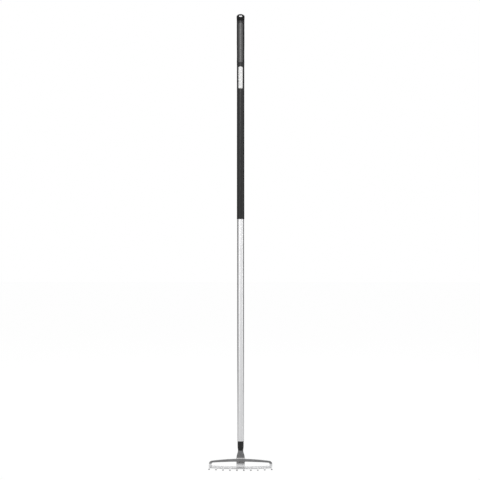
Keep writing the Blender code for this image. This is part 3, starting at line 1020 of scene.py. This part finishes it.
def make_tail_beads():
    """A low bead round each tine's tail, over the seam of its notch in the lip's upper side."""
    tails = []
    half = tine_half_width + GAP / 2
    start, end = lip_front + TAIL_BEAD_HALF, lip_front + TINE_NOTCH - GAP / 2
    section = domed_section(TAIL_BEAD_HALF, GAP, -TAIL_BEAD_PROUD, steps=8)
    for place in tine_places:
        sides = []
        for x, way in ((place + half, -TAIL_BEAD_CORNER), (place - half, TAIL_BEAD_CORNER)):
            sides.append([*quarter_round(x, end, way, 6), (x, start)])
        if abs(place) + half > head_half_width:
            path = [(math.copysign(head_half_width - GAP, place), end), *sides[place > 0]]
        else:
            path = [*reversed(sides[0]), *sides[1]]
        tails.append(bead("tail", path, 0.0, section))
    return join("tail_beads", tails)


def quarter_round(x, y, way, steps):
    """Points that round off a corner, from beside it, on the side of way's sign, to below it."""
    points = []
    for angle in swept(0, QUARTER, steps):
        points.append((x + way * (1 - math.sin(angle)), y - abs(way) * (1 - math.cos(angle))))
    return points


def new_finish(title, colour, roughness, metallic=0.0, gloss=0.5):
    """A material with its plain values set, and its tree."""
    material = bpy.data.materials.new(title)
    material.use_nodes = True
    inputs = material.node_tree.nodes["Principled BSDF"].inputs
    names = ("Base Color", "Roughness", "Metallic", "Specular IOR Level")
    for name, value in zip(names, (colour, roughness, metallic, gloss)):
        feed(inputs[name], value)
    return material, material.node_tree


def finished(material, tone, rough, height, depth):
    """Gives a material its colour, its roughness, and a relief whose full range is a depth."""
    nodes = material.node_tree.nodes
    bump = nodes.new("ShaderNodeBump")
    feed(bump.inputs["Distance"], depth)
    feed(bump.inputs["Height"], height)
    inputs = nodes["Principled BSDF"].inputs
    feed(inputs["Normal"], bump.outputs["Normal"])
    feed(inputs["Base Color"], tone)
    feed(inputs["Roughness"], rough)
    return material


def pattern(tree, across, along=None, detail=3.0, kind="ShaderNodeTexNoise"):
    """A noise or cell pattern on object coordinates, with its scales across and along the shaft."""
    coordinates = tree.nodes.new("ShaderNodeTexCoord")
    mapping = tree.nodes.new("ShaderNodeMapping")
    mapping.inputs["Scale"].default_value = (across, across, along or across)
    texture = tree.nodes.new(kind)
    feed(texture.inputs["Scale"], 1.0)
    feed(mapping.inputs["Vector"], coordinates.outputs["Object"])
    feed(texture.inputs["Vector"], mapping.outputs["Vector"])
    if kind == "ShaderNodeTexNoise":
        feed(texture.inputs["Detail"], detail)
        return texture.outputs["Fac"]
    return texture.outputs["Distance"]


def axes(tree, kind="Object"):
    """The X, Y and Z outputs of one kind of coordinates."""
    coordinates = tree.nodes.new("ShaderNodeTexCoord")
    split = tree.nodes.new("ShaderNodeSeparateXYZ")
    feed(split.inputs["Vector"], coordinates.outputs[kind])
    return split.outputs


def feed(socket, value):
    """Gives a socket a number, a colour or another socket's output."""
    if isinstance(value, (int, float)):
        socket.default_value = value
    elif isinstance(value, tuple):
        socket.default_value = (*value, 1)
    else:
        socket.id_data.links.new(value, socket)


def ranged(value, to=(0.0, 1.0), over=(0.3, 0.7)):
    """Maps a value to one range over another, which by default is a pattern's middle stretch."""
    node = value.id_data.nodes.new("ShaderNodeMapRange")
    names = ("Value", "From Min", "From Max", "To Min", "To Max")
    for name, number in zip(names, (value, *over, *to)):
        feed(node.inputs[name], number)
    return node.outputs["Result"]


def blended(share, first, second, kind="RGBA"):
    """The first colour, or VALUE, where share is 0, and the second where it is 1."""
    node = share.id_data.nodes.new("ShaderNodeMix")
    node.data_type = "FLOAT" if kind == "VALUE" else kind
    feed(node.inputs["Factor"], share)
    ends = [item for item in node.inputs if item.type == kind and item.name in ("A", "B")]
    for socket, value in zip(ends, (first, second)):
        feed(socket, value)
    return [item for item in node.outputs if item.type == kind][0]


def combined(operation, first, *others):
    """Joins values by a maths operation, one after the other. One or more are sockets."""
    tree = next(value.id_data for value in (first, *others) if not isinstance(value, float))
    for other in others:
        node = tree.nodes.new("ShaderNodeMath")
        node.operation = operation
        feed(node.inputs[0], first)
        feed(node.inputs[1], other)
        first = node.outputs[0]
    return first


def scaled(colour, factor):
    return tuple(channel * factor for channel in colour)


def mottled(share, colour, low, high):
    """A colour that varies between two levels of itself."""
    return blended(share, scaled(colour, low), scaled(colour, high))


def satin_aluminium():
    """Drawn and anodised tube: fine lines along the shaft, soft cloudy variation, a few rubs."""
    colour = (0.84, 0.84, 0.85)
    material, tree = new_finish("satin_aluminium", colour, 0.3, metallic=1.0)
    lines = pattern(tree, 3000, 5, detail=4)
    clouds = pattern(tree, 30, 9)
    rubs = pattern(tree, 260, 55, detail=6)
    tone = mottled(ranged(lines), colour, 0.965, 1.025)
    worn = ranged(rubs, (0.0, 0.5), over=(0.62, 0.75))
    tone = blended(worn, tone, scaled(colour, 0.93))
    lined, cloudy = ranged(lines, (0.24, 0.32)), ranged(clouds, (0.0, 0.05))
    return finished(material, tone, combined("ADD", lined, cloudy), lines, 0.000004)


def black_plastic(name, level, roughness, grain, grain_depth, gloss):
    """Moulded black plastic with a fine sparked grain, flow marks and a little dust."""
    colour = (level, level, level + 0.0005)
    material, tree = new_finish(name, colour, roughness, gloss=gloss)
    grains = pattern(tree, grain, detail=2)
    flow = pattern(tree, 70, 14)
    dust = pattern(tree, 900, detail=5)
    tone = mottled(ranged(flow), colour, 0.85, 1.2)
    tone = blended(ranged(dust, (0.0, 0.25), over=(0.62, 0.8)), tone, DUST)
    rough = ranged(flow, (roughness - 0.04, roughness + 0.05))
    return finished(material, tone, rough, grains, grain_depth)


def pad_rubber():
    """The soft pad: dark grey, with fine pimples and a soft gloss."""
    colour = (0.022, 0.0217, 0.022)
    material, tree = new_finish("pad_rubber", colour, 0.36, gloss=1.0)
    cells = pattern(tree, 1100, kind="ShaderNodeTexVoronoi")
    clouds = pattern(tree, 60, 22, detail=4)
    tone = mottled(ranged(clouds), colour, 0.85, 1.25)
    # Painted shade: darker between the pimples, where the relief is low
    tone = blended(ranged(cells, (0.0, 0.4)), tone, scaled(colour, 0.6))
    pimples = combined("SUBTRACT", 1.0, cells)
    return finished(material, tone, ranged(clouds, (0.32, 0.40)), pimples, 0.00003)


def white_plastic():
    """The inlay: smooth white plastic with a faint mottle."""
    colour = (0.885, 0.885, 0.88)
    material, tree = new_finish("inlay_white", colour, 0.34)
    mottle = pattern(tree, 400, 200, detail=4)
    clouds = pattern(tree, 90, 40)
    tone = mottled(ranged(mottle), colour, 0.985, 1.01)
    return finished(material, tone, ranged(clouds, (0.3, 0.4)), mottle, 0.000008)


def head_steel():
    """Blasted bare steel: fine grain, cloudy tone, a painted highlight on the lip and tines, which
    are also rougher there, and painted shade on the tines' cut ends.
    """
    colour = (0.25, 0.25, 0.255)
    material, tree = new_finish("head_steel", colour, 0.42, metallic=1.0)
    grain = pattern(tree, 2600, detail=5)
    clouds = pattern(tree, 70, detail=4)
    specks = pattern(tree, 700, detail=3)
    tone = mottled(ranged(clouds), colour, 0.86, 1.12)
    tone = blended(ranged(grain, (0.0, 0.5)), tone, scaled(colour, 0.8))
    speckled = ranged(specks, (0.0, 0.5), over=(0.66, 0.74))
    tone = blended(speckled, tone, scaled(colour, 0.5))
    painted_highlight_and_roughness = painted_highlight_low_down(tree, clouds)
    # Painted highlight: the lip and tines are lightened to stand in for the light that the
    # forward-bent comb catches
    tone = blended(painted_highlight_and_roughness, tone, PAINTED_HIGHLIGHT_COLOUR)
    # Painted shade: the tines' sheared ends are darkened
    tone = blended(painted_shade_on_tine_tips(tree), tone, scaled(colour, 0.25))
    rougher_low_down = combined("MULTIPLY", painted_highlight_and_roughness, 0.16)
    rough = combined("ADD", ranged(grain, (0.38, 0.50)), rougher_low_down)
    return finished(material, tone, rough, grain, 0.00002)


def painted_highlight_low_down(tree, clouds):
    """The share of the painted highlight and of the extra roughness: none on the bow, and most low
    down at the lip and tines.
    """
    lowness = ranged(axes(tree)["Z"], over=[floor_height + height for height in PAINTED_HIGHLIGHT_HEIGHTS])
    return combined("MULTIPLY", lowness, ranged(clouds, (0.8, 1.0)))


def painted_shade_on_tine_tips(tree):
    """The share of painted shade on the tines' sheared ends: darkest at the tips, and fading back
    with a ragged edge.
    """
    tip_shade_noise = pattern(tree, 1500, detail=4)
    ragged = ranged(tip_shade_noise, (-TIP_SHADE_RAGGED, TIP_SHADE_RAGGED))
    place = combined("ADD", axes(tree)["Y"], ragged)
    dark = ranged(place, (1.0, 0.0), over=[tine_low.y + reach for reach in TIP_SHADE_REACH])
    return combined("MULTIPLY", dark, ranged(tip_shade_noise, (1.0, 0.6)))


def weld_steel():
    """Weld metal: brighter than the sheet, with a smoky tint in patches."""
    colour = (0.41, 0.41, 0.42)
    material, tree = new_finish("weld_steel", colour, 0.36, metallic=1.0)
    grain = pattern(tree, 1800, detail=4)
    smoke = pattern(tree, 260, detail=3)
    tone = blended(ranged(smoke, (0.0, 0.8)), scaled(colour, 1.1), WELD_SMOKE)
    return finished(material, tone, ranged(grain, (0.30, 0.46)), grain, 0.00003)


def rivet_steel():
    """Zinc plated steel, slightly dull."""
    colour = (0.60, 0.60, 0.62)
    material, tree = new_finish("rivet_steel", colour, 0.35, metallic=1.0)
    clouds = pattern(tree, 900, detail=4)
    tone = mottled(ranged(clouds), colour, 0.8, 1.05)
    return finished(material, tone, ranged(clouds, (0.28, 0.44)), clouds, 0.00001)


def dress(piece, material, slot, *nodes):
    """Gives a piece its finish and its body, and hides the solids that it stands for. The slot
    argument is not used.
    """
    piece.data.materials.clear()
    piece.data.materials.append(material)
    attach(piece, "root")
    if nodes:
        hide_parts(*nodes)


def build_rake():
    sleeve_black = black_plastic("sleeve_black", 0.009, 0.33, 2200, 0.000012, gloss=0.42)
    grip_black = black_plastic("grip_black", 0.008, 0.35, 2600, 0.00002, gloss=0.42)
    cap_black = black_plastic("cap_black", 0.005, 0.5, 2600, 0.00002, gloss=0.14)
    bushing_black = black_plastic("bushing_black", 0.007, 0.38, 2400, 0.000015, gloss=0.4)
    steel = head_steel()
    bead_steel = weld_steel()

    dress(make_tube(), satin_aluminium(), "shaft_aluminium", "shaft_tube")
    dress(make_sleeve(), sleeve_black, "sleeve_plastic", "shaft_sleeve")
    dress(make_inlay(), white_plastic(), "inlay_plastic", "sleeve_inlay")
    dress(make_grip(), grip_black, "grip_plastic", "grip_core")
    dress(make_pad(), pad_rubber(), "pad_rubber", "grip_pad")
    dress(make_cap(), cap_black, "grip_plastic", "end_cap")
    dress(make_bushing(), bushing_black, "bushing_plastic", "socket_bushing")
    dress(make_rivet(), rivet_steel(), "rivet_steel", "shaft_rivet")
    dress(make_neck(), steel, "head_steel", "neck")
    dress(make_bow(), steel, "head_steel", "bow")
    dress(make_bar(), steel, "head_steel", "tine_bar")
    for node, tine in make_tines().items():
        dress(tine, steel, "head_steel", node)
    for node, weld in make_welds().items():
        dress(weld, bead_steel, "weld_steel", node)
    dress(make_root_fillets(), steel, "head_steel")
    dress(make_tail_beads(), bead_steel, "weld_steel")


def make_floor():
    """A pale floor. The camera and shiny surfaces see most of it as an even glow."""
    floor = added(
        "studio_floor", bpy.ops.mesh.primitive_plane_add,
        size=FLOOR_SIZE, location=(0, 0, floor_height - FLOOR_DROP),
    )
    place_in_mesh(floor)
    material, tree = new_finish("pale_floor", (0.9, 0.9, 0.9), 0.9)
    glow = tree.nodes.new("ShaderNodeEmission")
    mix = tree.nodes.new("ShaderNodeMixShader")
    glossy = rays(tree, "Is Glossy Ray")
    feed(glow.inputs["Strength"], blended(glossy, FLOOR_LEVEL, floor_in_gloss(tree), "VALUE"))
    seen = rays(tree, "Is Camera Ray", "Is Glossy Ray", "Is Transmission Ray")
    feed(mix.inputs["Fac"], combined("MULTIPLY", seen, FLOOR_GLOW))
    feed(mix.inputs[1], tree.nodes["Principled BSDF"].outputs[0])
    feed(mix.inputs[2], glow.outputs[0])
    feed(tree.nodes["Material Output"].inputs["Surface"], mix.outputs[0])
    floor.data.materials.append(material)


def rays(tree, *kinds):
    """1 for the rays that are of one of these kinds, else 0."""
    outputs = tree.nodes.new("ShaderNodeLightPath").outputs
    return combined("MAXIMUM", *(outputs[kind] for kind in kinds))


def floor_in_gloss(tree):
    """The floor's brightness to shiny surfaces: bright near by and in front, dim further back."""
    coordinates = tree.nodes.new("ShaderNodeTexCoord")
    reach = tree.nodes.new("ShaderNodeVectorMath")
    reach.operation = "DISTANCE"
    reach.inputs[1].default_value = (0, 0, floor_height - FLOOR_DROP)
    feed(reach.inputs[0], coordinates.outputs["Object"])
    round_it = ranged(reach.outputs["Value"], FLOOR_ROUND, over=FLOOR_ROUND_REACH)
    before_it = ranged(axes(tree)["Y"], (FLOOR_FRONT, 0.0), over=FLOOR_FRONT_REACH)
    return combined("MAXIMUM", round_it, before_it)


def make_world():
    """White to the camera, an even level to dull surfaces, and a soft room to shiny ones."""
    world = bpy.data.worlds.new("studio")
    world.use_nodes = True
    bpy.context.scene.world = world
    tree = world.node_tree
    background = tree.nodes["Background"]
    feed(background.inputs["Color"], (1, 1, 1))
    shiny = blended(rays(tree, "Is Glossy Ray"), ROOM_LEVEL, room_brightness(tree), "VALUE")
    clear = rays(tree, "Is Camera Ray", "Is Transmission Ray")
    feed(background.inputs["Strength"], blended(clear, shiny, 1.0, "VALUE"))


def room_brightness(tree):
    """The room's brightness by direction: a bright ceiling and backdrop, greyer at the sides.

    What the upper half of the shaft mirrors, from level to a little above, is bright only in front.
    """
    _, y, z = axes(tree, "Generated")
    above = ranged(z, (0.0, 0.8), over=(0.2, 0.65))
    wide = ranged(y, over=(0.82, 0.93))
    high = ranged(z, (0.0, 2.2), over=(0.10, 0.20))
    straight_behind = ranged(y, (0.0, 0.9), over=(0.97, 0.995))
    behind = combined("MAXIMUM", combined("MULTIPLY", wide, high), straight_behind)
    wide_front = ranged(y, (0.78, 0.0), over=(-0.05, 0.25))
    narrow_front = ranged(y, (0.88, 0.0), over=(-0.9, 0.1))
    rising = ranged(z, over=(0.0, 0.05))
    falling = ranged(z, (1.0, 0.0), over=(0.22, 0.32))
    raised = combined("MULTIPLY", rising, falling)
    front = blended(raised, wide_front, narrow_front, "VALUE")
    return combined("ADD", above, behind, front, ROOM_LEAST)


def add_lamp(name, place, aim, size, radiance, spread=180):
    """A soft rectangular lamp that lights the object and shows in its gloss, not to the camera.

    radiance is its level straight ahead, also where a narrower spread gathers its light.
    """
    light = bpy.data.lights.new(name, "AREA")
    light.shape = "RECTANGLE"
    light.size, light.size_y = size
    light.spread = math.radians(spread)
    gathered = 1 - light.spread / 2 / math.tan(light.spread / 2)
    light.energy = radiance * math.pi * size[0] * size[1] * gathered
    lamp = bpy.data.objects.new(name, light)
    bpy.context.scene.collection.objects.link(lamp)
    lamp.visible_camera = False
    put_facing(lamp, place, aim)


def put_facing(item, place, aim):
    """Puts a lamp or a camera at a place, facing its aim."""
    item.location = place
    item.rotation_euler = (Vector(aim) - Vector(place)).to_track_quat("-Z", "Y").to_euler()


def make_lamps():
    middle = floor_height / 2
    for name, turn, radiance in SOFTBOXES:
        place = on_shaft(math.radians(turn), SOFTBOX_REACH, middle)
        add_lamp(f"{name}_softbox", place, (0, 0, middle), SOFTBOX_SIZE, radiance)
    add_lamp(
        "overhead_softbox", place=(0, 2.2, 1.9), aim=(0, 0, floor_height),
        size=(4.0, 3.0), radiance=1.9,
    )
    add_lamp(
        "high_front_softbox", place=(0, -2.6, 0.38), aim=(0, 0, -0.2),
        size=(2.6, 1.0), radiance=4.6, spread=50,
    )


def make_camera():
    data = bpy.data.cameras.new("camera")
    data.sensor_width = SENSOR_WIDTH
    data.lens = data.sensor_width / 2 / (FRAME_HEIGHT / 2 / CAMERA_DISTANCE)
    camera = bpy.data.objects.new("camera", data)
    bpy.context.scene.collection.objects.link(camera)
    aim = Vector((-AIM_LEFT, 0, floor_height + CAMERA_HEIGHT))
    put_facing(camera, aim + on_shaft(CAMERA_TURN, CAMERA_DISTANCE, 0), aim)
    bpy.context.scene.camera = camera


build_rake()
make_floor()
make_world()
make_lamps()
make_camera()
bpy.context.scene.view_settings.view_transform = "Standard"
